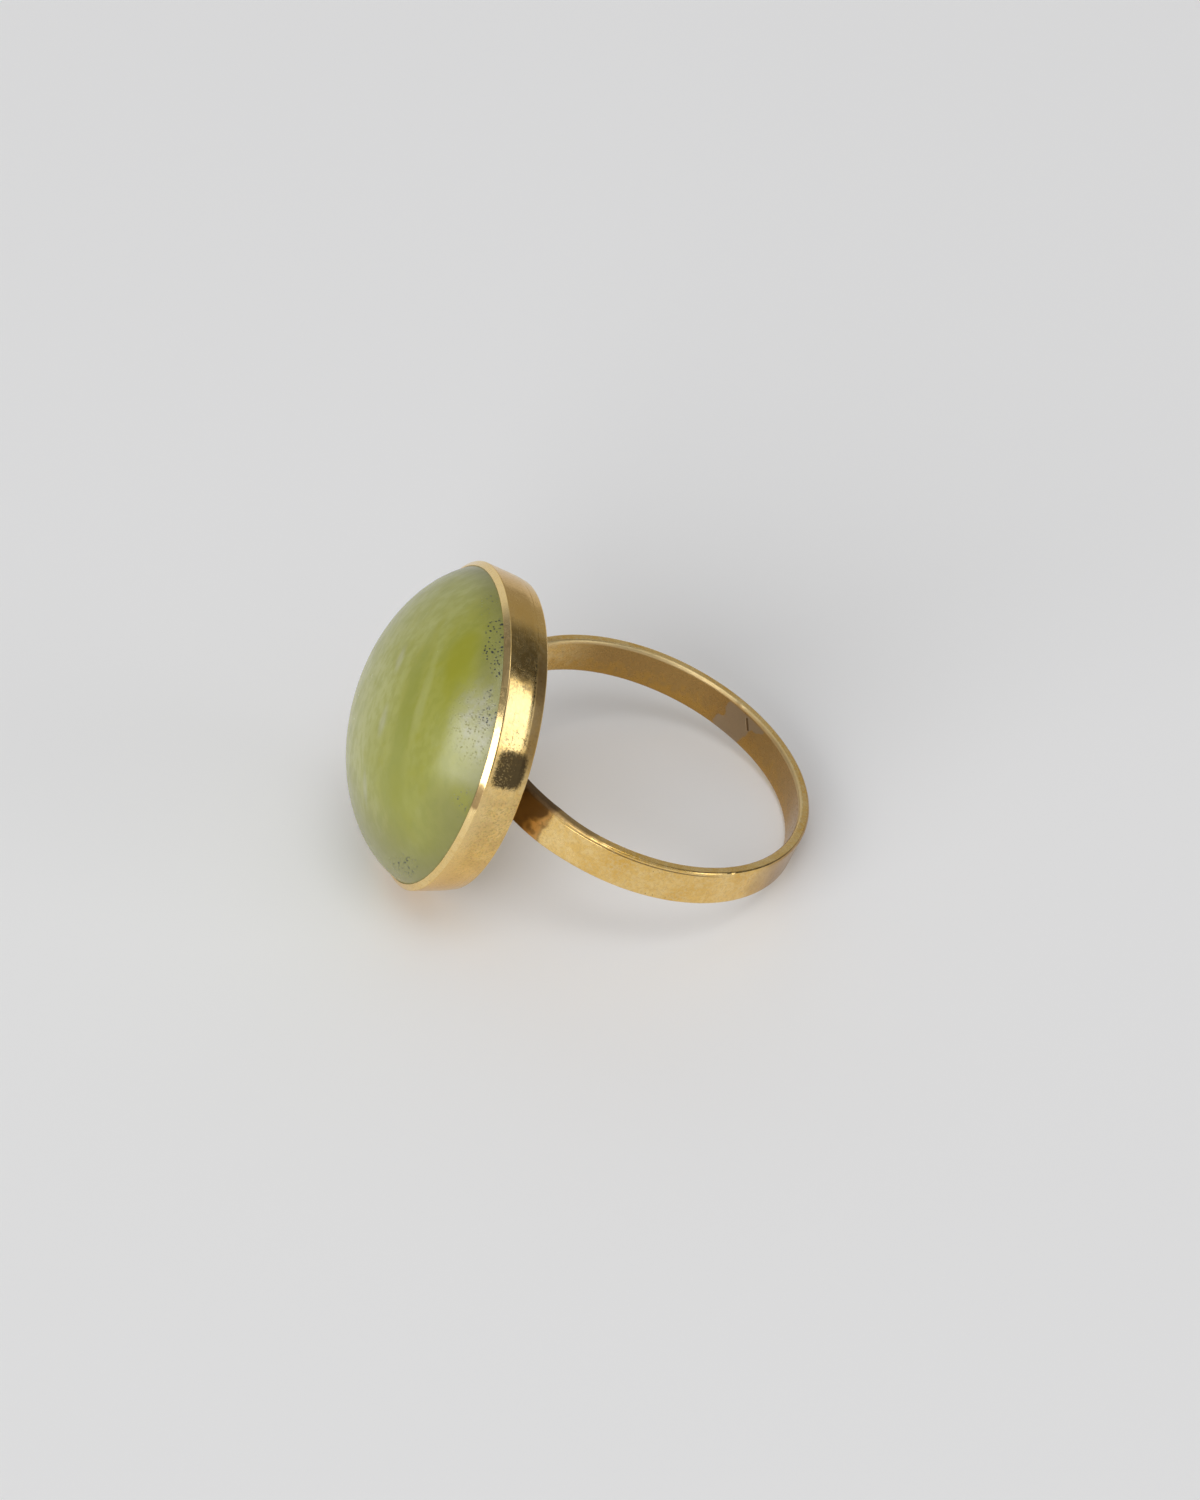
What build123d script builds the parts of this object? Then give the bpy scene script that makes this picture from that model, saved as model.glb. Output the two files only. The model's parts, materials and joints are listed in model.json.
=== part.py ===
"""A gold finger ring with a domed oval jade cabochon, lying on its side.

The ring is two pieces. The gold is one soldered solid: a round band of flat
strip, and an oval collet with a closed back and a rim burnished over the stone.
The jade cabochon sits in the collet with a small gap all round.

The ring lies as it would by itself on a table: it touches the table with the
back edge of the collet and with the far edge of the band. Lengths are in
millimetres, +Z is up, the table is Z = 0 and the ring's box is centred on X and
Y. The stone faces -X and upwards, and the band reaches towards +X.
"""

from build123d import *
import os
from math import atan2, cos, hypot, sin, sqrt

# Driving dimensions of the band
FINGER_DIAMETER = 17.3
BAND_THICKNESS = 0.58
BAND_WIDTH = 2.02
BAND_EDGE_CHAMFER = 0.09

# Driving dimensions of the collet, whose long axis runs along the finger
HEAD_LENGTH = 17.78
HEAD_ASPECT = 1.06
COLLET_HEIGHT = 2.29
COLLET_FLARE = 0.43
WALL_THICKNESS = 0.27
PLATE_THICKNESS = 0.46
SEAT_DEPTH = 0.38
BACK_EDGE_CHAMFER = 0.1
RIDGE_RADIUS = 0.07
BEVEL_HEIGHT = 0.23
BEVEL_WIDTH = 0.4
LIP_THICKNESS = 0.1
LIP_RADIUS = 0.05

# Driving dimensions of the stone
DOME_HEIGHT = 4.2
DOME_SWELL = 1.05
STONE_GAP = 0.04

# Sizes along the radius of the band
band_inner_r = FINGER_DIAMETER / 2
band_outer_r = band_inner_r + BAND_THICKNESS
band_middle_r = (band_inner_r + band_outer_r) / 2
plate_back = band_outer_r - SEAT_DEPTH

# Half lengths of the collet along the finger, and its levels above the back
ridge_r = HEAD_LENGTH / 2
back_r = ridge_r - COLLET_FLARE
rim_r = ridge_r - BEVEL_WIDTH
rim_level = COLLET_HEIGHT + BEVEL_HEIGHT

# The dome is part of an ellipsoid that swells on, out of sight, below the rim
dome_rim_r = rim_r - STONE_GAP
dome_plan_r = DOME_SWELL * dome_rim_r
dome_rise = DOME_HEIGHT * DOME_SWELL / (DOME_SWELL - sqrt(DOME_SWELL**2 - 1))
dome_centre = rim_level + DOME_HEIGHT - dome_rise
stone_top = rim_level + DOME_HEIGHT


def wall_r(level):
    """Half length of the collet's flared outside at a level above its back."""
    return back_r + COLLET_FLARE * level / COLLET_HEIGHT


# The ring lies on two edges, the collet's foot and the band's heel, each at the
# outer side of its chamfer. Their places are given from the middle of the band,
# along the head's direction and along the finger, and they set the tilt.
foot_reach = plate_back + BACK_EDGE_CHAMFER
foot_drop = wall_r(BACK_EDGE_CHAMFER)
heel_reach = band_outer_r - BAND_EDGE_CHAMFER
heel_drop = BAND_WIDTH / 2
tilt = atan2(foot_drop - heel_drop, foot_reach + heel_reach)

# The middle of the band stands at this height, and this far along X puts the
# middle of the ring's box at X = 0
band_centre_z = heel_reach * sin(tilt) + heel_drop * cos(tilt)
dome_reach = (plate_back + dome_centre) * cos(tilt) + hypot(
    dome_rise * cos(tilt), dome_plan_r * sin(tilt)
)
band_reach = band_outer_r * cos(tilt) + (heel_drop - BAND_EDGE_CHAMFER) * sin(tilt)
band_centre_x = (dome_reach - band_reach) / 2

# The two directions of the ring: out through the head, and along the finger
head_direction = Vector(-cos(tilt), 0, sin(tilt))
finger_direction = Vector(sin(tilt), 0, cos(tilt))
band_centre = Vector(band_centre_x, 0, band_centre_z)
band_section = Plane(origin=band_centre, x_dir=head_direction, z_dir=(0, 1, 0))
head_plane = Plane(
    origin=band_centre + head_direction * plate_back,
    x_dir=finger_direction,
    z_dir=head_direction,
)


def stone_form(clearance):
    """The stone's form upright at the origin, grown all round by a clearance.

    An ellipsoid is trimmed by the flared inside of the collet and by a flat
    base. With no clearance it is the stone, and with the gap its seat.
    """
    base = PLATE_THICKNESS + STONE_GAP - clearance
    inset = WALL_THICKNESS + STONE_GAP - clearance
    above = stone_top + DOME_HEIGHT
    with BuildPart() as form:
        with BuildSketch(Plane.XZ):
            with Locations((0, dome_centre)):
                Ellipse(dome_plan_r + clearance, dome_rise + clearance)
            Polygon(
                (0, base),
                (wall_r(base) - inset, base),
                (wall_r(above) - inset, above),
                (0, above),
                align=None,
                mode=Mode.INTERSECT,
            )
        revolve(axis=Axis.Z)
        scale(by=(1, 1 / HEAD_ASPECT, 1))
    return form.part


# The collet before it is hollowed, upright at the origin: back plate, flared
# wall, ridge, and the bevel where the rim is pushed over the stone
with BuildPart() as collet_blank:
    with BuildSketch(Plane.XZ) as collet_profile:
        Polygon(
            (0, 0),
            (back_r - BACK_EDGE_CHAMFER, 0),
            (wall_r(BACK_EDGE_CHAMFER), BACK_EDGE_CHAMFER),
            (ridge_r, COLLET_HEIGHT),
            (rim_r + LIP_THICKNESS, rim_level),
            (0, rim_level),
            align=None,
        )
        ridge_corner = collet_profile.vertices().sort_by(Axis.X)[-1]
        fillet(ridge_corner, RIDGE_RADIUS)
        lip_corner = collet_profile.vertices().group_by(Axis.Y)[-1].sort_by(Axis.X)[-1]
        fillet(lip_corner, LIP_RADIUS)
    revolve(axis=Axis.Z)
    scale(by=(1, 1 / HEAD_ASPECT, 1))

# Gold: the band and the collet are soldered together, then hollowed for the
# stone, with the back plate left closed
with BuildPart() as gold_setting:
    with BuildSketch(band_section) as strip:
        with Locations((band_middle_r, 0)):
            Rectangle(BAND_THICKNESS, BAND_WIDTH)
        chamfer(strip.vertices(), BAND_EDGE_CHAMFER)
    revolve(axis=Axis(band_centre, finger_direction))
    with Locations(head_plane):
        add(collet_blank.part)
        add(stone_form(STONE_GAP), mode=Mode.SUBTRACT)

# Jade: a high oval dome with a plain girdle and a flat base
with BuildPart() as jade_cabochon:
    with Locations(head_plane):
        add(stone_form(0))

os.makedirs("parts", exist_ok=True)
gold_setting.part.label = "gold_setting"
jade_cabochon.part.label = "jade_cabochon"
for piece in (gold_setting.part, jade_cabochon.part):
    export_step(piece, f"parts/{piece.label}.step")
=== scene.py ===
"""Looks for a gold finger ring with a domed oval jade cabochon, lying on its side."""

import json
from math import cos, pi, radians, sin, sqrt, tan

import bpy
import numpy as np
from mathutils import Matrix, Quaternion, Vector


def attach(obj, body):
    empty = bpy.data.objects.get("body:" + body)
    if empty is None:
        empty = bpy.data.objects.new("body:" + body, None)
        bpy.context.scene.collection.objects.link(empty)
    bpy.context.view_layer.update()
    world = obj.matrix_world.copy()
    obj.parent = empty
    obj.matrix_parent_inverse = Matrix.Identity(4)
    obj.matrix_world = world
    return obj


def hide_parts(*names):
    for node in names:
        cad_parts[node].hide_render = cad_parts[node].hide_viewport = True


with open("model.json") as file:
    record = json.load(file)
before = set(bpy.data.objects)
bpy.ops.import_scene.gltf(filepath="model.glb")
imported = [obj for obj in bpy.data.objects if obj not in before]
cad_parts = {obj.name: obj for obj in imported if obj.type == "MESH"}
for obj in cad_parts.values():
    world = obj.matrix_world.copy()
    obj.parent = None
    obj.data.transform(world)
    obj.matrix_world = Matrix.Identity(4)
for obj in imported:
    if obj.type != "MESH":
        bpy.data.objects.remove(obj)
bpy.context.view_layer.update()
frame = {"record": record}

# How the ring lies. The bore that the frame states gives the middle of the band and
# the line of the finger, and the head stands out square to the finger. Every shape
# below is worked out in millimetres in the ring's own axes: along the finger, across
# it, and out through the head, all from the middle of the band.
MM = 0.001
bore = frame["record"]["mounts"][0]
band_middle = np.array(bore["pos_m"])
finger_axis = np.array(bore["axis"]) / np.linalg.norm(bore["axis"])
across_axis = np.array((0.0, 1.0, 0.0))
head_axis = np.cross(finger_axis, across_axis)
ring_axes = np.stack((finger_axis, across_axis, head_axis))

# The camera, at the photograph's angle: a long lens from in front of the ring and
# above it. PICTURE_MIDDLE is what the middle of the photograph shows, to the right of
# the band's middle and above it.
CAMERA_AZIMUTH = radians(-9.06)
CAMERA_ELEVATION = radians(41.38)
CAMERA_LENS = 120
CAMERA_DISTANCE = 261.55
PICTURE_MIDDLE = (-2.0865, 0.8563)

camera_right = np.array((cos(CAMERA_AZIMUTH), sin(CAMERA_AZIMUTH), 0.0))
camera_back = np.array(
    (
        sin(CAMERA_AZIMUTH) * cos(CAMERA_ELEVATION),
        -cos(CAMERA_AZIMUTH) * cos(CAMERA_ELEVATION),
        sin(CAMERA_ELEVATION),
    )
)
camera_up = np.cross(camera_back, camera_right)
camera = bpy.data.objects.new("camera", bpy.data.cameras.new("camera"))
camera.data.lens = CAMERA_LENS
camera.data.clip_start = MM
camera.location = band_middle + MM * (
    PICTURE_MIDDLE[0] * camera_right + PICTURE_MIDDLE[1] * camera_up + CAMERA_DISTANCE * camera_back
)
camera.rotation_euler = (-Vector(camera_back)).to_track_quat("-Z", "Y").to_euler()
bpy.context.scene.collection.objects.link(camera)
bpy.context.scene.camera = camera

# The band: a hoop bent from flat gold strip and soldered to the back of the collet, with
# a patch of solder inside and edges softened by wear. The strip is a rounded rectangle
# carried round the finger. Sizes are in mm, and turns in radians from the head.
BAND_THICKNESS = 0.58
BAND_WIDTH = 2.02
BAND_SPREAD = 0.08
BAND_UNEVEN = 0.012
UNEVEN_LENGTH = 5.5
INNER_EDGE = 0.17
OUTER_EDGE = 0.14
HEEL_REACH = 0.7
HEEL_FADE = 0.5
FILLET_WIDTH = 0.09
FILLET_UNDER = 0.4
FILLET_END = radians(64)
FILLET_FADE = 0.3
BURR_HEIGHT = 0.07
BURR_SIZE = 0.12
BURR_TURN = radians(138.7)
BURR_SPREAD = 0.022
NICK_DEPTH = 0.05
NICK_SIZE = 0.15
NICK_TURN = radians(-110.3)
NICK_SPREAD = 0.012
BAND_STEPS = 840
ARC_POINTS = 7
RUN_POINTS = 18


def rounded(corners, radii, closed=True):
    """Points along a path of straight runs whose corners are arcs.

    At each corner the arc's centre lies on the bisector, radius / sin(half the corner's
    angle) away, and the arc turns about it from one point of tangency to the other.
    An open path starts and ends at its first and last corner, which have no radius.
    """
    corners = np.array(corners, float)
    radii = np.array(radii, float)[:, None]
    back = np.roll(corners, 1, 0) - corners
    on = np.roll(corners, -1, 0) - corners
    back /= np.linalg.norm(back, axis=1, keepdims=True)
    on /= np.linalg.norm(on, axis=1, keepdims=True)
    half = np.arccos((back * on).sum(1, keepdims=True)) / 2
    bisector = (back + on) / np.linalg.norm(back + on, axis=1, keepdims=True)
    centre = corners + bisector * radii / np.sin(half)
    first = corners + back * radii / np.tan(half) - centre
    last = corners + on * radii / np.tan(half) - centre
    turn = (pi - 2 * half)[:, :, None]
    share = np.linspace(0, 1, ARC_POINTS)[None, :, None]
    arcs = centre[:, None] + (
        np.sin((1 - share) * turn) * first[:, None] + np.sin(share * turn) * last[:, None]
    ) / np.sin(turn)
    share = np.linspace(0, 1, RUN_POINTS + 2)[None, 1:-1, None]
    runs = (1 - share) * arcs[:, -1:] + share * np.roll(arcs[:, :1], -1, 0)
    path = np.concatenate((arcs, runs), 1).reshape(-1, 2)
    return path if closed else path[ARC_POINTS - 1 : 1 - ARC_POINTS - RUN_POINTS]


def waves(places, length, seed):
    """Smooth unevenness between about -1 and 1, with humps about a length across.

    It is twice the mean of nine cosines along seeded directions, each
    cos(2 pi (direction . place) / length + phase).
    """
    rng = np.random.default_rng(seed)
    directions = rng.normal(size=(9, 3))
    directions /= np.linalg.norm(directions, axis=1, keepdims=True)
    phases = rng.uniform(0, 2 * pi, len(directions))
    return 2 * np.cos(2 * pi / length * places @ directions.T + phases).mean(-1)


def bump(values, middle, width):
    """A smooth hump, 1 at the middle and e ** -1 at a width from it."""
    return np.exp(-(((values - middle) / width) ** 2))


def add_piece(name, grid, ends=None):
    """A smooth closed mesh from a grid of places, in millimetres in the ring's axes.

    Each row of the grid closes on itself. The last row joins the first, or each of
    the two end points closes its end row with a fan. Faces are turned outwards by
    the sign of the enclosed volume, the sum of the volumes from the origin to them.
    """
    rows, columns = grid.shape[:2]
    places = grid.reshape(-1, 3)
    index = np.arange(rows * columns).reshape(rows, columns)
    beside = np.roll(index, -1, 1)
    cells = np.stack((index, beside, np.roll(beside, -1, 0), np.roll(index, -1, 0)), -1)
    faces = cells.reshape(-1, 4)
    fans = np.empty((0, 3), int)
    if ends is not None:
        places = np.concatenate((places, np.array(ends, float)))
        pole = np.full(columns, rows * columns)
        faces = cells[:-1].reshape(-1, 4)
        fans = np.concatenate(
            (
                np.stack((pole, beside[0], index[0]), -1),
                np.stack((pole + 1, index[-1], beside[-1]), -1),
            )
        )
    triangles = np.concatenate((faces[:, :3], faces[:, [0, 2, 3]], fans))
    a, b, c = np.moveaxis(places[triangles], 1, 0)
    if (a * np.cross(b, c)).sum() < 0:
        faces = faces[:, ::-1]
        fans = fans[:, ::-1]
    mesh = bpy.data.meshes.new(name)
    in_metres = band_middle + MM * places @ ring_axes
    mesh.from_pydata(in_metres.tolist(), [], faces.tolist() + fans.tolist())
    mesh.shade_smooth()
    piece = bpy.data.objects.new(name, mesh)
    bpy.context.scene.collection.objects.link(piece)
    return piece


def hoop(section, angles):
    """Carries a section round the finger.

    A section point (out, along) at an angle lies out * cos(angle) towards the head,
    out * sin(angle) across, and along the finger.
    """
    out, along = section[..., 0], section[..., 1]
    return np.stack(
        np.broadcast_arrays(along, out * np.sin(angles), out * np.cos(angles)), -1
    )


class Wire:
    """A shader socket that sums and products can be written with.

    Each operator adds a Math node, and node() adds a node of any other kind.
    """

    def __init__(self, tree, socket=None):
        self.tree = tree
        self.socket = socket

    def node(self, kind, settings, sockets, out=0):
        """Adds a node, gives it its settings, then the values or links of its sockets."""
        node = self.tree.nodes.new("ShaderNode" + kind)
        for name, value in settings.items():
            setattr(node, name, value)
        for name, value in sockets.items():
            if isinstance(value, Wire):
                self.tree.links.new(value.socket, node.inputs[name])
            else:
                node.inputs[name].default_value = value
        return Wire(self.tree, node.outputs[out])

    def math(self, operation, first, second=0.0):
        return self.node("Math", {"operation": operation}, {0: first, 1: second})

    def __add__(self, other):
        return self.math("ADD", self, other)

    def __radd__(self, other):
        return self.math("ADD", other, self)

    def __sub__(self, other):
        return self.math("SUBTRACT", self, other)

    def __rsub__(self, other):
        return self.math("SUBTRACT", other, self)

    def __mul__(self, other):
        return self.math("MULTIPLY", self, other)

    def __rmul__(self, other):
        return self.math("MULTIPLY", other, self)

    def __truediv__(self, other):
        return self.math("DIVIDE", self, other)

    def __abs__(self):
        return self.math("ABSOLUTE", self)


def step(value, low, high):
    """Rises smoothly from 0 at low to 1 at high, or falls where low is the higher."""
    return value.node(
        "MapRange",
        {"interpolation_type": "SMOOTHSTEP"},
        {"Value": value, "From Min": low, "From Max": high},
    )


def scaled(place, factors, shift=(0, 0, 0)):
    """A place with each coordinate multiplied by its factor and then shifted."""
    sockets = {0: place, 1: factors, 2: shift}
    return place.node("VectorMath", {"operation": "MULTIPLY_ADD"}, sockets)


def length_of(place):
    """The distance of a place from the origin."""
    return place.node("VectorMath", {"operation": "LENGTH"}, {0: place}, "Value")


def together(x, y, z=0.0):
    """A place made of three coordinates, of which the first is a socket."""
    return x.node("CombineXYZ", {}, {"X": x, "Y": y, "Z": z})


def coordinates(place):
    """A place's three coordinates: along the finger, across it, and towards the head."""
    return [place.node("SeparateXYZ", {}, {"Vector": place}, axis) for axis in "XYZ"]


def clouds(place, size, detail, shift=0.0):
    """Soft noise about 0.5, with lumps about a size across, in millimetres."""
    moved = scaled(place, (1, 1, 1), (shift, -shift, 2 * shift))
    return place.node("TexNoise", {}, {"Vector": moved, "Scale": 1 / size, "Detail": detail})


def lines(place, size, width, shift=0.0):
    """Thin wandering lines: 1 where noise of a size crosses its middle value."""
    return step(abs(clouds(place, size, 0.0, shift) - 0.5), width, 0)


def specks(place, size, radius, share, shift=0.0):
    """Dots of up to a radius in a share of the cells of a scatter of points."""
    sockets = {"Vector": scaled(place, (1, 1, 1), (shift, shift, -shift)), "Scale": 1 / size}
    distance = place.node("TexVoronoi", {}, sockets, "Distance")
    chance = place.node("TexVoronoi", {}, sockets, "Color")
    pick = chance.node("SeparateColor", {}, {"Color": chance}, "Red")
    return step(distance, radius / size, 0.5 * radius / size) * step(pick, share, share - 0.02)


def blend(mask, under, over):
    """The colour under, covered by the colour over where the mask is 1."""
    return mask.node("Mix", {"data_type": "RGBA"}, {0: mask, 6: under, 7: over}, 2)


def stained(colour, stains):
    """A colour under stains laid on in turn, each given by a mask and its own colour."""
    for mask, stain in stains:
        colour = blend(mask, colour, stain)
    return colour


def new_material(name):
    """A material, its shader, and the place on the piece in the ring's axes, in mm."""
    material = bpy.data.materials.new(name)
    material.use_nodes = True
    tree = material.node_tree
    here = Wire(tree).node("TexCoord", {}, {}, "Object")
    lean = np.arctan2(-finger_axis[2], finger_axis[0])
    place = here.node(
        "Mapping",
        {"vector_type": "TEXTURE"},
        {"Vector": here, "Location": band_middle, "Rotation": (0, lean, 0), "Scale": (MM, MM, MM)},
    )
    return material, tree.nodes["Principled BSDF"], place


def finish(shader, colour, roughness, height):
    """Gives a shader its colour, its gloss, and its relief from a height in mm."""
    relief = colour.node("Bump", {}, {"Height": height, "Distance": MM, "Strength": 1.0})
    for name, wire in {"Base Color": colour, "Roughness": roughness, "Normal": relief}.items():
        wire.tree.links.new(wire.socket, shader.inputs[name])


def worn_gold(place, grain_place):
    """Colour, roughness and height in mm of old gold that is worn to a polish.

    The colour drifts between yellow and a warmer orange under a fine mottling, and
    is dulled by specks of dirt. Hair scratches follow the grain.
    """
    drift = step(clouds(place, 2.4, 3.0), 0.36, 0.66)
    mottle = step(clouds(place, 0.3, 3.0, 7.0), 0.4, 0.62)
    dull = step(clouds(place, 0.13, 2.0, 17.0), 0.46, 0.66)
    scratch = lines(grain_place, 1.0, 0.02) * step(clouds(place, 0.9, 1.0, 3.0), 0.42, 0.6)
    dirt = specks(place, 0.3, 0.05, 0.16) * step(clouds(place, 1.7, 1.0, 5.0), 0.4, 0.6)
    colour = stained(
        blend(drift, GOLD_YELLOW, GOLD_WARM),
        [
            (mottle * 0.5, GOLD_PALE),
            (dull * 0.4, GOLD_BROWN),
            (dirt * 0.6, TARNISH_AND_SHADE),
        ],
    )
    roughness = 0.12 + 0.06 * drift + 0.05 * mottle + 0.08 * dull + 0.12 * scratch + 0.15 * dirt
    height = 0.006 * clouds(place, 0.9, 1.0, 11.0) + 0.0008 * clouds(place, 0.2, 2.0, 13.0)
    return colour, roughness, height - 0.001 * scratch


GOLD_YELLOW = (0.90, 0.63, 0.24, 1)
GOLD_WARM = (0.86, 0.57, 0.18, 1)
GOLD_PALE = (0.93, 0.71, 0.34, 1)
# A cream for painted highlights
HIGHLIGHT_CREAM = (0.95, 0.80, 0.46, 1)
GOLD_ORANGE = (0.84, 0.50, 0.09, 1)
# A dark pink for painted shade
GOLD_PINK_SHADE = (0.43, 0.26, 0.10, 1)
GOLD_BROWN = (0.66, 0.44, 0.18, 1)
INSIDE_BROWN = (0.40, 0.24, 0.08, 1)
INSIDE_ORANGE = (0.52, 0.29, 0.06, 1)
HEAT_STAIN = (0.58, 0.34, 0.12, 1)
# A dark brown for tarnish and dirt, and for painted shade
TARNISH_AND_SHADE = (0.13, 0.075, 0.03, 1)
SOLDER_GREY = (0.365, 0.27, 0.17, 1)

bore_r = bore["dims"]["r_mm"]
band_outer_r = bore_r + BAND_THICKNESS
edge = BAND_WIDTH / 2
strip = rounded(
    [(bore_r, -edge), (band_outer_r, -edge), (band_outer_r, edge), (bore_r, edge)],
    [INNER_EDGE, OUTER_EDGE, OUTER_EDGE, INNER_EDGE],
)
band_turn = np.linspace(0, 2 * pi, BAND_STEPS, endpoint=False)
band_angle = (band_turn + pi) % (2 * pi) - pi
band_places = hoop(strip[:, None], band_turn)

# The wear moves the strip's points in or out: an uneven surface, a burr on the inner
# corner where the hoop was closed, and a nick in the outer one
out_of_strip = strip - (bore_r + BAND_THICKNESS / 2, 0)
out_of_strip /= np.linalg.norm(out_of_strip, axis=1, keepdims=True)
inner_corner = bump(strip[:, 0], bore_r, BURR_SIZE) * bump(strip[:, 1], edge, BURR_SIZE)
outer_corner = bump(strip[:, 0], band_outer_r, NICK_SIZE) * bump(strip[:, 1], edge, NICK_SIZE)
swell = -BAND_UNEVEN * (1 + waves(band_places, UNEVEN_LENGTH, 3)) / 2
swell += BURR_HEIGHT * inner_corner[:, None] * bump(band_angle, BURR_TURN, BURR_SPREAD)
swell -= NICK_DEPTH * outer_corner[:, None] * bump(band_angle, NICK_TURN, NICK_SPREAD)
band_section = strip[:, None] + swell[..., None] * out_of_strip[:, None]

# The strip spreads a little past BAND_WIDTH, except under the heel that it rests on,
# and further where the solder climbs to the collet
from_head = np.abs(band_angle)
heel = np.clip((from_head - pi + HEEL_REACH) / HEEL_FADE, 0, 1)
fillet = FILLET_WIDTH * np.clip((FILLET_END - from_head) / FILLET_FADE, 0, 1) ** 2
wider = np.where(
    strip[:, 1, None] > 0,
    BAND_SPREAD + fillet,
    BAND_SPREAD * (1 - heel) + FILLET_UNDER * fillet,
)
band_section[..., 1] += wider * strip[:, 1, None] / edge
band = add_piece("band", hoop(band_section, band_turn))
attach(band, "root")
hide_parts("gold_setting")

# Where the stains of the band are: turns in radians from the head, and places along the
# finger in mm. ACROSS_SEAM is the direction square to the seam of the patch, as its
# shares along the finger and round the band.
HEAT_END = radians(45.6)
SOLDER_START = radians(133.4)
SOLDER_END = radians(147.2)
SOLDER_TOP = 0.88
SEAM_TURN = radians(144.5)
SEAM_ALONG = 0.4
ACROSS_SEAM = (0.579, 0.814)
GROOVE_TURN = -1.35
GROOVE_ALONG = 0.88
SCRATCH_STRETCH = 14

band_gold, shader, place = new_material("band_gold")
finger, across, head = coordinates(place)
radius = length_of(scaled(place, (0, 1, 1)))
turn = across.math("ARCTAN2", across, head)
from_head = abs(turn)
along_strip = together(
    SCRATCH_STRETCH * finger + 0.7 * across,
    SCRATCH_STRETCH * radius + 0.7 * head,
    0.9 * across + 0.4 * head,
)
colour, roughness, height = worn_gold(place, along_strip)
ragged = clouds(place, 0.5, 3.0, 6.0) - 0.5
wavy = clouds(place, 0.9, 1.0, 6.0) - 0.5

# The inside is brown, with orange along its lower side. The outside is freckled with
# orange, and its far end is darkened to pink as painted shade, for the shaded floor it reflects.
inside = step(radius, bore_r + 0.12, bore_r + 0.02)
outside = 1 - inside
brown = inside * (0.98 - 0.9 * step(head, 0.5, 4.8))
low_side = inside * step(finger + 2.4 * ragged, 0.1, -0.9)
freckled = outside * step(clouds(place, 2.6, 1.0, 21.0), 0.42, 0.58)
freckled = freckled * step(from_head, HEAT_END + 0.16, HEAT_END + 0.4)
freckles = freckled * step(clouds(place, 0.16, 3.0, 23.0), 0.4, 0.62)
face = step(radius, band_outer_r - 0.16, band_outer_r - 0.06)
# Painted shade at the far end of the outside, and a little inside
far_end_shade = step(head + 2 * (clouds(place, 1.2, 2.0, 9.0) - 0.5), -4.0, -6.8)
far_end_shade = far_end_shade * (0.95 * face + 0.25 * inside)

# The arms are stained by the heat of soldering next to the collet, and dark close to it,
# partly tarnish and partly painted shade of the collet that they reflect. Dirt lies on the
# near arm's edge, on its corner, and in a groove beside it.
heated = outside * step(from_head - 0.01 * finger + 0.08 * wavy, HEAT_END + 0.02, HEAT_END - 0.02)
smoked_and_shaded = heated * step(from_head - 0.07 * finger + 0.2 * wavy, HEAT_END - 0.03, HEAT_END - 0.1)
blotches = heated * step(clouds(place, 0.45, 3.0, 3.0), 0.5, 0.68)
grimy = step(finger, edge - 0.02, edge + 0.03) * step(turn, 0.1, 0)
grimy = grimy * step(0.4 * ragged - turn, HEAT_END + 0.5, HEAT_END)
worn_corner = outside * step(finger, edge - 0.1, edge - 0.04)
worn_corner = worn_corner * step(from_head + 0.3 * ragged, HEAT_END + 0.36, HEAT_END + 0.2)
groove = outside * step(abs(finger - GROOVE_ALONG), 0.05, 0.02)
groove = groove * step(abs(turn - GROOVE_TURN), 0.6, 0.3)

# The patch of solder inside the band is grey, with a dark seam. The inner rim of the
# far side has a painted highlight.
patch = inside * step(turn + 0.14 * wavy + 0.05 * ragged, SOLDER_START, SOLDER_START + 0.015)
patch_end = turn - 0.09 * finger - 0.14 * wavy + 0.06 * ragged
patch = patch * step(patch_end, SOLDER_END + 0.015, SOLDER_END)
patch = patch * step(finger + 0.12 * ragged, SOLDER_TOP, SOLDER_TOP - 0.08)
beside = (turn - SEAM_TURN) * bore_r
above = finger - SEAM_ALONG
across_seam = ACROSS_SEAM[0] * above + ACROSS_SEAM[1] * beside
along_seam = ACROSS_SEAM[0] * beside - ACROSS_SEAM[1] * above
seam = inside * step(abs(across_seam), 0.1, 0.05) * step(abs(along_seam), 0.4, 0.32)
# A painted highlight along the inner rim of the far side
rim_highlight = step(radius, bore_r + 0.22, bore_r + 0.1) * step(finger, 0.84, 0.94)
rim_highlight = rim_highlight * step(across, -5.0, -2.0)

colour = stained(
    colour,
    [
        (brown, INSIDE_BROWN),
        (low_side * 0.6, INSIDE_ORANGE),
        (freckles * 0.9, GOLD_ORANGE),
        (freckled * 0.25, GOLD_BROWN),
        (far_end_shade, GOLD_PINK_SHADE),
        (heated * 0.9, HEAT_STAIN),
        (smoked_and_shaded * 0.95, TARNISH_AND_SHADE),
        (blotches * 0.6, TARNISH_AND_SHADE),
        (heated * (1 - heated) * 1.5, TARNISH_AND_SHADE),
        (grimy * 0.4, SOLDER_GREY),
        (worn_corner * 0.5, TARNISH_AND_SHADE),
        (groove * 0.75, TARNISH_AND_SHADE),
        (patch, SOLDER_GREY),
        (seam * 0.9, TARNISH_AND_SHADE),
        (rim_highlight * 0.5, HIGHLIGHT_CREAM),
    ],
)
roughness = roughness + 0.08 * inside + 0.16 * heated + 0.2 * (grimy + worn_corner)
roughness = roughness + 0.2 * patch + 0.18 * rim_highlight
height = height + 0.006 * heated * clouds(place, 0.5, 1.0, 31.0) - 0.01 * groove
height = height + 0.006 * patch * clouds(place, 0.2, 2.0, 8.0) - 0.02 * seam
finish(shader, colour, roughness, height)
shader.inputs["Metallic"].default_value = 1
band.data.materials.append(band_gold)

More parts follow.
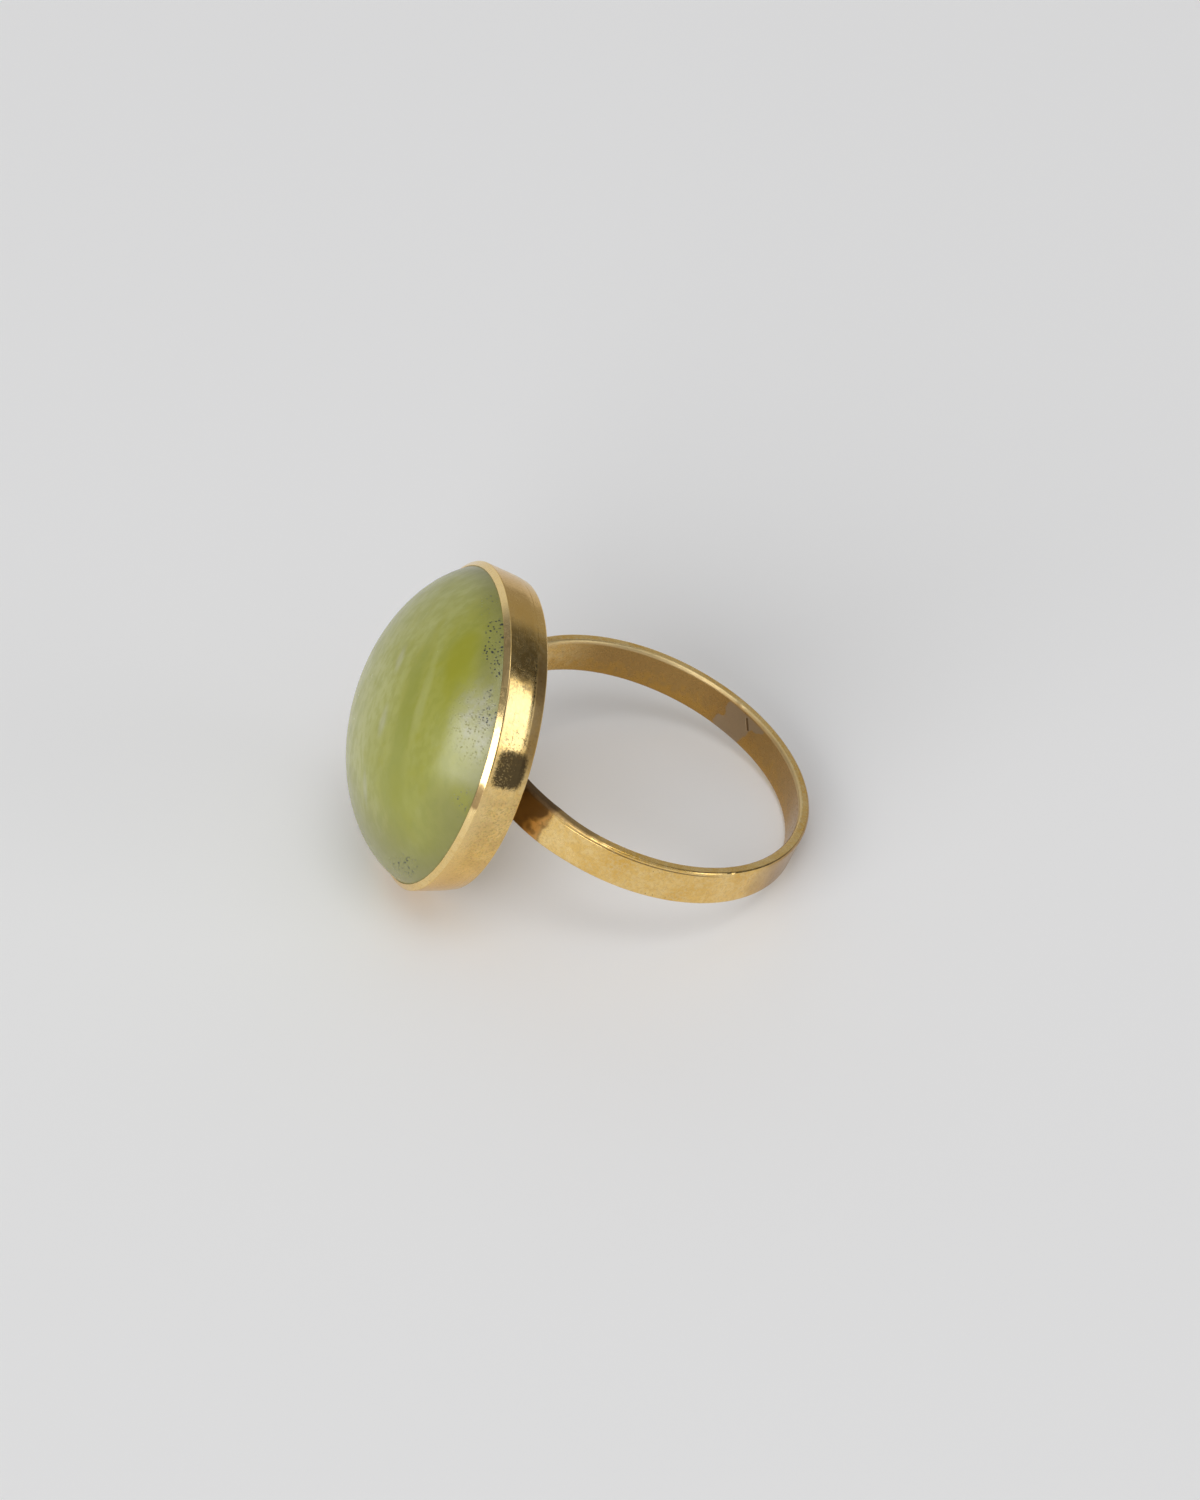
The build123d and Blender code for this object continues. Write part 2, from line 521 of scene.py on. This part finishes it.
# The collet: a strip of gold bent into an oval and soldered to a closed back plate. Its
# wall leans out to a ridge, and the rim above it is pushed over the stone as a bevel.
# Levels are in mm above its back, and each R is half of a length along the finger.
SEAT_DEPTH = 0.38
HEAD_ASPECT = 1.06
RIDGE_R = 8.89
RIDGE_LEVEL = 2.25
RIDGE_EDGE = 0.07
COLLET_FLARE = 0.43
COLLET_HEIGHT = 2.29
BEVEL_HEIGHT = 0.23
BEVEL_WIDTH = 0.33
LIP_THICKNESS = 0.06
LIP_EDGE = 0.025
LIP_DEPTH = 0.4
WALL_THICKNESS = 0.27
PLATE_THICKNESS = 0.46
BACK_EDGE = 0.12
BACK_TUCK = 0.09
TUCK_LEVEL = 0.8
TUCK_CURVE = 3.5
SEAT_EDGE = 0.1
COLLET_STEPS = 500
plate_back = band_outer_r - SEAT_DEPTH
back_r = RIDGE_R - COLLET_FLARE
rim_r = RIDGE_R - BEVEL_WIDTH
rim_level = COLLET_HEIGHT + BEVEL_HEIGHT


def wall_r(level):
    """Half length of the collet's outside at a level above its back."""
    return back_r + COLLET_FLARE * level / COLLET_HEIGHT


def oval(profile, angles):
    """Carries a profile round the head's oval.

    A profile point (out, level) at an angle lies out * cos(angle) along the finger,
    out * sin(angle) / aspect across, and at its level above the back of the collet.
    """
    out, level = profile[..., 0], profile[..., 1]
    along, across = out * np.cos(angles), out * np.sin(angles) / HEAD_ASPECT
    return np.stack(np.broadcast_arrays(along, across, plate_back + level), -1)


collet_profile = rounded(
    [
        (0, 0),
        (back_r - BACK_TUCK, 0),
        (wall_r(TUCK_LEVEL), TUCK_LEVEL),
        (RIDGE_R, RIDGE_LEVEL),
        (rim_r + LIP_THICKNESS, rim_level),
        (rim_r, rim_level),
        (wall_r(COLLET_HEIGHT) - WALL_THICKNESS, COLLET_HEIGHT - LIP_DEPTH),
        (wall_r(PLATE_THICKNESS) - WALL_THICKNESS, PLATE_THICKNESS),
        (0, PLATE_THICKNESS),
    ],
    [0, BACK_EDGE, TUCK_CURVE, RIDGE_EDGE, LIP_EDGE, LIP_EDGE, SEAT_EDGE, SEAT_EDGE, 0],
    closed=False,
)[1:-1]
collet_turn = np.linspace(0, 2 * pi, COLLET_STEPS, endpoint=False)
collet_places = oval(collet_profile[:, None], collet_turn)

# Shallow dents of the outside, two kinds by their depth, length and seed
dents = sum(
    depth * (1 + waves(collet_places, length, seed)) / 2
    for depth, length, seed in ((0.012, 4.0, 21), (0.006, 1.7, 22))
)
on_outside = (collet_profile[:, 0] > rim_r - 0.01)[:, None]
dented = collet_profile[:, None, 0] - on_outside * dents
collet_section = np.stack(np.broadcast_arrays(dented, collet_profile[:, None, 1]), -1)
collet = add_piece(
    "collet",
    oval(collet_section, collet_turn),
    ends=[(0, 0, plate_back), (0, 0, plate_back + PLATE_THICKNESS)],
)
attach(collet, "root")
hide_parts("gold_setting")

# Stains, painted highlights and painted shade of the wall and the bevel are placed by the
# way round, ROUND_MM to the radian from the upper end of the oval, and by the level
ROUND_MM = 8
DARK_PATCH_PLACE = (-9.02, 1.17)
DARK_PATCH_REACH = (0.97, 0.9)
GOLD_ROSE = (0.68, 0.41, 0.10, 1)
GOLD_OLIVE = (0.72, 0.55, 0.19, 1)
# The dark patch, partly a stain and partly a painted dark reflection
DARK_PATCH = (0.085, 0.06, 0.028, 1)


def spot(place, middle, reach, soft, fray=0.0):
    """1 in the middle of an oval spot, falling to 0 over the soft part of its reach.

    The fray is added to each distance from the middle, as a share of the reach. A
    place on the wall or in the jade's layers has two coordinates, and its third is 0.
    """
    middle = (*middle, 0)[:3]
    reach = (*reach, 1)[:3]
    shift = [-m / r for m, r in zip(middle, reach)]
    offset = scaled(place, [1 / r for r in reach], shift)
    return step(length_of(offset) + fray, 1, 1 - soft)


collet_gold, shader, place = new_material("collet_gold")
finger, across, head = coordinates(place)
level = head - plate_back
turn = across.math("ARCTAN2", across * HEAD_ASPECT, finger)
on_wall = together(ROUND_MM * turn, level)
round_wall = together(
    SCRATCH_STRETCH * head + 0.9 * finger,
    5 * head + 0.9 * across,
    0.5 * finger - 0.6 * across,
)
colour, roughness, height = worn_gold(place, round_wall)
ragged = clouds(place, 0.4, 3.0, 6.0) - 0.5
fray = clouds(place, 0.16, 2.0, 3.0) - 0.5
fine = clouds(place, 0.09, 3.0, 4.0) - 0.5
bevel = step(level, RIDGE_LEVEL - 0.01, RIDGE_LEVEL + 0.03)
wall = step(level, 0.01, 0.1) * (1 - bevel)

# The tone of the gold changes round the wall: a painted highlight in the middle, rosy above,
# and browner below, with an olive and dark grain, orange at the end and pale by the ridge
painted_highlight = wall * spot(on_wall, (-6.6, 1.5), (1.9, 1.5), 0.5)
rosy = wall * spot(on_wall, (0.5, 1.3), (4.5, 3.0), 0.8)
lower = wall * step(finger, 3.0, 1.7)
lower_brown = lower * (0.1 + 0.6 * step(clouds(place, 0.9, 3.0, 27.0), 0.42, 0.6))
lower_olive = lower * step(clouds(place, 0.16, 3.0, 28.0), 0.45, 0.6)
lower_dark = lower * step(clouds(place, 0.13, 3.0, 33.0), 0.5, 0.64)
lower_pale = lower * step(level, 1.3, 2.2)
lower_orange = wall * step(finger, 1.0, -5.0)

# A squarish dark patch, partly a stain and partly a painted dark reflection, with lighter
# flecks in it, from distances to the fourth power
dark_patch_x = (ROUND_MM * turn - DARK_PATCH_PLACE[0] + 0.3 * fray) / DARK_PATCH_REACH[0]
dark_patch_y = (level - DARK_PATCH_PLACE[1]) / DARK_PATCH_REACH[1]
dark_patch_x = dark_patch_x * dark_patch_x
dark_patch_y = dark_patch_y * dark_patch_y
dark_patch = step(dark_patch_x * dark_patch_x + dark_patch_y * dark_patch_y + 1.2 * fine, 1.35, 0.3)
grit = 0.97 - 0.3 * step(fine, 0.0, 0.14) * step(level + 3 * fray, 0.9, 1.9)

# Scuffs and specks of dirt on the wall, painted shade above the painted highlight, along
# the ridge and by the back edge, and rubbed places of the bevel
scuffs = wall * spot(on_wall, (-3.3, 1.3), (2.0, 1.3), 0.7)
scuffs = scuffs * lines(place, 0.5, 0.03, 1.0) * step(clouds(place, 0.8, 1.0, 12.0), 0.5, 0.6)
speckled = wall * spot(on_wall, (-7.9, 1.2), (1.2, 1.2), 0.6) * step(fray, 0.04, 0.14)
# Painted shade above the painted highlight, with a slanting edge
shaded = wall * step(ROUND_MM * turn - 0.77 * level + 0.5 * ragged, -6.15, -5.85)
shaded = shaded * spot(on_wall, (-4.4, 0.9), (2.4, 1.7), 0.7)
# A painted dark reflection along the ridge
ridge_shade = step(abs(level - RIDGE_LEVEL + 0.03), 0.06, 0.02)
ridge_shade = ridge_shade * spot(on_wall, (-7.0, 2.2), (3.0, 2.0), 0.4)
# Painted shade along the back edge, where the wall turns in
back_strip_shade = wall * step(level + 0.03 * ragged, 0.72, 0.54)
back_strip_shade = back_strip_shade * spot(on_wall, (-6.0, 0.2), (4.6, 4.0), 0.6)
rubbed = spot(on_wall, (-3.9, 2.4), (1.9, 2.0), 0.4, 1.2 * ragged)
rubbed = rubbed + 1.6 * spot(on_wall, (-10.7, 2.4), (0.9, 2.0), 0.6, 1.2 * ragged)
rubbed = bevel * rubbed

colour = stained(
    colour,
    [
        (bevel * (0.3 + 0.4 * step(finger, -3.0, 2.0)), GOLD_PALE),
        (painted_highlight * 0.35, HIGHLIGHT_CREAM),
        (rosy * 0.85, GOLD_ROSE),
        (lower_brown, GOLD_BROWN),
        (lower_olive * 0.5, GOLD_OLIVE),
        (lower_dark * 0.26, TARNISH_AND_SHADE),
        (lower_pale * 0.5, GOLD_PALE),
        (lower_orange * 0.55, GOLD_ORANGE),
        (back_strip_shade * 0.72, TARNISH_AND_SHADE),
        (shaded * 0.43, TARNISH_AND_SHADE),
        (ridge_shade * 0.7, TARNISH_AND_SHADE),
        (dark_patch * grit, DARK_PATCH),
        (speckled * 0.6, TARNISH_AND_SHADE),
        (rubbed * 0.5, TARNISH_AND_SHADE),
    ],
)
roughness = roughness + 0.15 * scuffs + 0.25 * dark_patch + 0.2 * rubbed
roughness = roughness + 0.3 * back_strip_shade - 0.05 * painted_highlight
height = height + 0.0012 * scuffs + 0.003 * rubbed * clouds(place, 0.14, 2.0, 4.0)
finish(shader, colour, roughness, height)
shader.inputs["Metallic"].default_value = 1
collet.data.materials.append(collet_gold)

# The stone: a high oval dome of jade, cut and polished by hand, with a plain girdle
# and a flat base inside the collet. It is part of an ellipsoid that swells on below
# the rim, trimmed by the collet's leaning wall.
DOME_HEIGHT = 4.2
DOME_SWELL = 1.05
STONE_GAP = 0.02
GIRDLE_DEPTH = 0.5
DOME_ROWS = 150
POLE_ROWS = 3
GIRDLE_ROWS = 12
STONE_STEPS = 360
dome_plan_r = DOME_SWELL * (rim_r - STONE_GAP)
dome_rise = DOME_HEIGHT * DOME_SWELL / (DOME_SWELL - sqrt(DOME_SWELL**2 - 1))
dome_top = rim_level + DOME_HEIGHT
dome_centre = dome_top - dome_rise
girdle_top = rim_level - GIRDLE_DEPTH
stone_base = PLATE_THICKNESS + STONE_GAP

dome_end = np.arccos((girdle_top - dome_centre) / dome_rise)
dome_turn = np.linspace(0, dome_end, DOME_ROWS)[POLE_ROWS:]
dome = np.stack((dome_plan_r * np.sin(dome_turn), dome_centre + dome_rise * np.cos(dome_turn)), -1)
girdle_level = np.linspace(girdle_top, stone_base, GIRDLE_ROWS)[1:]
girdle = np.stack((wall_r(girdle_level) - WALL_THICKNESS - STONE_GAP, girdle_level), -1)
base_r = girdle[-1, 0] * np.linspace(1, 0, GIRDLE_ROWS)[1:-1]
base = np.stack((base_r, np.full_like(base_r, stone_base)), -1)
stone_profile = np.concatenate((dome, girdle, base))
stone_profile[:, 0] = np.minimum(
    stone_profile[:, 0], wall_r(stone_profile[:, 1]) - WALL_THICKNESS - STONE_GAP
)
stone = add_piece(
    "jade_cabochon_polished",
    oval(stone_profile[:, None], np.linspace(0, 2 * pi, STONE_STEPS, endpoint=False)),
    ends=[(0, 0, plate_back + dome_top), (0, 0, plate_back + stone_base)],
)
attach(stone, "root")
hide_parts("jade_cabochon")

# The jade is clouded in layers that run slantwise across the finger and bend a little
LAYER_SLANT = 0.47
LAYER_BEND = 0.045
JADE_GREEN = (0.31, 0.315, 0.055, 1)
JADE_CLOUD = (0.46, 0.46, 0.20, 1)
JADE_OLIVE = (0.278, 0.278, 0.018, 1)
JADE_MOSS = (0.25, 0.265, 0.035, 1)
# A dark green for painted shade by the rim and foot, and for pits
JADE_SHADE_AND_PITS = (0.19, 0.185, 0.05, 1)
# A pale grey for pale streaks and for the painted highlight
JADE_PALE_AND_HIGHLIGHT = (0.47, 0.45, 0.42, 1)
JADE_SPECK = (0.015, 0.02, 0.012, 1)


def spots(place, soft, patches):
    """The sum of oval spots, each given by its strength, middle, reach and fray."""
    total = 0.0
    for strength, middle, reach, fray in patches:
        total = total + strength * spot(place, middle, reach, soft, fray)
    return total


jade, shader, place = new_material("jade")
finger, across, head = coordinates(place)
along_layer = finger + LAYER_SLANT * across
through_layers = across - LAYER_SLANT * finger
upper = along_layer.math("MAXIMUM", along_layer, 0.0)
in_layers = together(along_layer, through_layers - LAYER_BEND * upper * upper)

# The clouding: noise drawn out along the layers, and patches in their places
layers = together(along_layer * 0.42, through_layers * 0.8, head * 0.5)
streak = clouds(layers, 1.4, 2.0, 5.0) - 0.5
cloud = step(through_layers + 6 * streak, -4.6, -0.4) * (1 - 0.5 * step(along_layer, 1.5, 5.0))
wisps = step(clouds(layers, 0.9, 2.0, 8.0), 0.45, 0.8)
veins = step(clouds(scaled(place, (0.7, 1, 0.7)), 1.2, 3.0, 1.0), 0.48, 0.66)
fibre = together(along_layer * 0.5, through_layers, head * 0.5)
fibres = step(clouds(fibre, 0.36, 3.0, 14.0), 0.4, 0.64)
green_layer = spot(in_layers, (-0.4, -4.7), (8.5, 0.95), 0.9, 1.6 * streak)
pale_layer = spot(in_layers, (3.0, -5.65), (4.2, 0.4), 0.9, 1.2 * streak)
olive = spots(
    in_layers,
    0.9,
    [
        (1.0, (4.6, -6.95), (3.4, 1.1), 2.0 * streak),
        (0.6, (-3.4, -4.9), (2.2, 0.8), 1.2 * streak),
        (0.6, (6.3, -4.9), (1.3, 0.5), 1.2 * streak),
        (0.8, (-1.8, -8.4), (1.3, 0.6), 0.0),
    ],
)
olive_foot = spot(in_layers, (-2.0, -8.4), (1.2, 0.6), 0.9)
pale = spots(
    in_layers,
    0.9,
    [
        (1.0, (3.7, -2.6), (1.2, 0.5), 1.2 * streak),
        (1.0, (0.2, -2.9), (1.4, 0.5), 0.0),
        (1.0, (-4.0, -1.8), (1.4, 0.4), 0.0),
    ],
)

# Painted shade by the rim and towards the foot, a mossy patch, and a painted highlight:
# a pale haze over the near side
low = step(head, plate_back + rim_level + 1.4, plate_back + rim_level - 0.1)
foot_shade = step(finger + 0.25 * across, -2.0, -6.5)
mossy = spot(place, (-0.6, -5.4, 13.6), (3.2, 2.6, 2.4), 0.9)
highlight_haze = spot(place, (5.3, -5.7, 11.9), (2.7, 2.9, 1.9), 0.8)
rim_shade_above = spot(place, (7.0, -3.6, 11.9), (1.8, 2.2, 1.1), 0.9)
rim_shade_below = spot(place, (0.4, -7.3, 12.1), (3.2, 2.4, 2.0), 0.9)

# The wear: a grained side with pits, and black specks in patches by the rim
grained = spot(place, (4.9, -5.9, 12.0), (3.0, 2.9, 1.9), 0.8)
pits = grained * specks(place, 0.15, 0.06, 0.8, 4.0)
pitted = spots(
    place,
    0.7,
    [
        (1.0, (7.6, -2.8, 11.6), (1.5, 2.3, 0.9), 0.0),
        (0.3, (8.0, -0.3, 11.8), (1.2, 2.4, 1.0), 0.0),
        (0.36, (5.8, -5.6, 11.6), (2.2, 2.2, 0.8), 0.0),
        (0.4, (1.4, -7.6, 11.8), (1.2, 1.2, 0.8), 0.0),
        (0.5, (-4.6, -5.8, 12.3), (2.2, 2.4, 0.9), 0.0),
    ],
)
black = specks(place, 0.13, 0.062, 0.5) + specks(place, 0.24, 0.085, 0.4, 9.0)
black = black * step(pitted + 0.9 * (clouds(place, 0.5, 1.0, 2.0) - 0.5), 0.2, 0.5)

colour = stained(
    blend(cloud * 0.55, JADE_GREEN, JADE_CLOUD),
    [
        (wisps * 0.25, JADE_CLOUD),
        (veins * 0.5, JADE_OLIVE),
        (fibres * 0.45, JADE_MOSS),
        (green_layer * 0.75, JADE_MOSS),
        (olive * 0.8, JADE_OLIVE),
        (pale_layer * 0.25, JADE_CLOUD),
        (low * (0.65 - 0.5 * highlight_haze), JADE_SHADE_AND_PITS),
        (mossy * 0.3, JADE_MOSS),
        (foot_shade * 0.75, JADE_SHADE_AND_PITS),
        (pale * 0.25, JADE_PALE_AND_HIGHLIGHT),
        (highlight_haze * (0.3 + 0.25 * fibres), JADE_PALE_AND_HIGHLIGHT),
        (rim_shade_above * 0.45, JADE_SHADE_AND_PITS),
        (rim_shade_below * 0.5, JADE_SHADE_AND_PITS),
        (olive_foot * 0.5, JADE_OLIVE),
        (pits * 0.5, JADE_SHADE_AND_PITS),
        (black, JADE_SPECK),
    ],
)
roughness = 0.2 + 0.1 * clouds(place, 0.9, 3.0, 6.0) + 0.2 * black
height = (0.002 + 0.006 * (pitted + grained)) * clouds(place, 0.13, 1.0, 3.0)
height = height - 0.004 * black - 0.012 * pits
finish(shader, colour, roughness, height)
shader.inputs["IOR"].default_value = 1.61
shader.inputs["Subsurface Weight"].default_value = 0.3
shader.inputs["Subsurface Radius"].default_value = (1.0, 1.0, 0.4)
shader.inputs["Subsurface Scale"].default_value = 0.9 * MM
stone.data.materials.append(jade)

# The studio: a plain pale sheet under the ring, lit by a soft window light on the
# left, a soft box overhead and a dimmer one low on the right, in a dim grey room.
SHEET_REACH = 1
LIGHT_DISTANCE = 2
ROOM_GREY = 0.4
floor = bpy.data.objects.new("floor", bpy.data.meshes.new("floor"))
floor.data.from_pydata(
    [(SHEET_REACH * x, SHEET_REACH * y, 0) for x, y in ((-1, -1), (1, -1), (1, 1), (-1, 1))],
    [],
    [(0, 1, 2, 3)],
)
paper = bpy.data.materials.new("paper")
paper.use_nodes = True
shader = paper.node_tree.nodes["Principled BSDF"]
shader.inputs["Base Color"].default_value = (0.9, 0.9, 0.905, 1)
shader.inputs["Roughness"].default_value = 0.7
shader.inputs["Specular IOR Level"].default_value = 0.2
floor.data.materials.append(paper)
bpy.context.scene.collection.objects.link(floor)


def towards(azimuth, elevation):
    """The direction at an azimuth from +X towards +Y and an elevation, in degrees."""
    a, e = radians(azimuth), radians(elevation)
    return Vector((cos(a) * cos(e), sin(a) * cos(e), sin(e)))


def soft_box(name, direction, spread, brightness, roll=0):
    """A soft box in a direction from the ring that covers a spread of degrees each way."""
    light = bpy.data.lights.new(name, "AREA")
    light.shape = "RECTANGLE"
    light.size, light.size_y = (2 * LIGHT_DISTANCE * tan(radians(s / 2)) for s in spread)
    light.energy = brightness * pi * light.size * light.size_y
    lamp = bpy.data.objects.new(name, light)
    lamp.location = direction * LIGHT_DISTANCE
    turned = direction.to_track_quat("Z", "Y") @ Quaternion((0, 0, 1), radians(roll))
    lamp.rotation_euler = turned.to_euler()
    bpy.context.scene.collection.objects.link(lamp)


soft_box("window", towards(225, 23), (51, 34), 3.7)
soft_box("top_box", towards(290, 72), (28, 28), 2.0)
soft_box("low_box", towards(-32, 17.5), (42, 15), 1.5, roll=39)

# The room is lighter in two directions and darker in three. Each part is given by its
# strength, by its azimuth and elevation, and by the angles from there within which it
# is full and at which it ends, in degrees.
ROOM_PARTS = [
    (0.3, (112, 12), 14, 40),
    (0.15, (0, 90), 12, 40),
    (-0.3, (2, 26), 16, 34),
    (-0.12, (352, 4), 8, 24),
    (-0.2, (158, 46), 14, 34),
]
world = bpy.data.worlds.new("room")
world.use_nodes = True
bpy.context.scene.world = world
ray = Wire(world.node_tree).node("TexCoord", {}, {}, "Generated")
room = ROOM_GREY
for strength, direction, full, end in ROOM_PARTS:
    sockets = {0: ray, 1: towards(*direction)}
    facing = ray.node("VectorMath", {"operation": "DOT_PRODUCT"}, sockets, "Value")
    room = room + strength * step(facing, cos(radians(end)), cos(radians(full)))
background = world.node_tree.nodes["Background"]
world.node_tree.links.new(room.socket, background.inputs["Color"])
bpy.context.scene.view_settings.view_transform = "Standard"
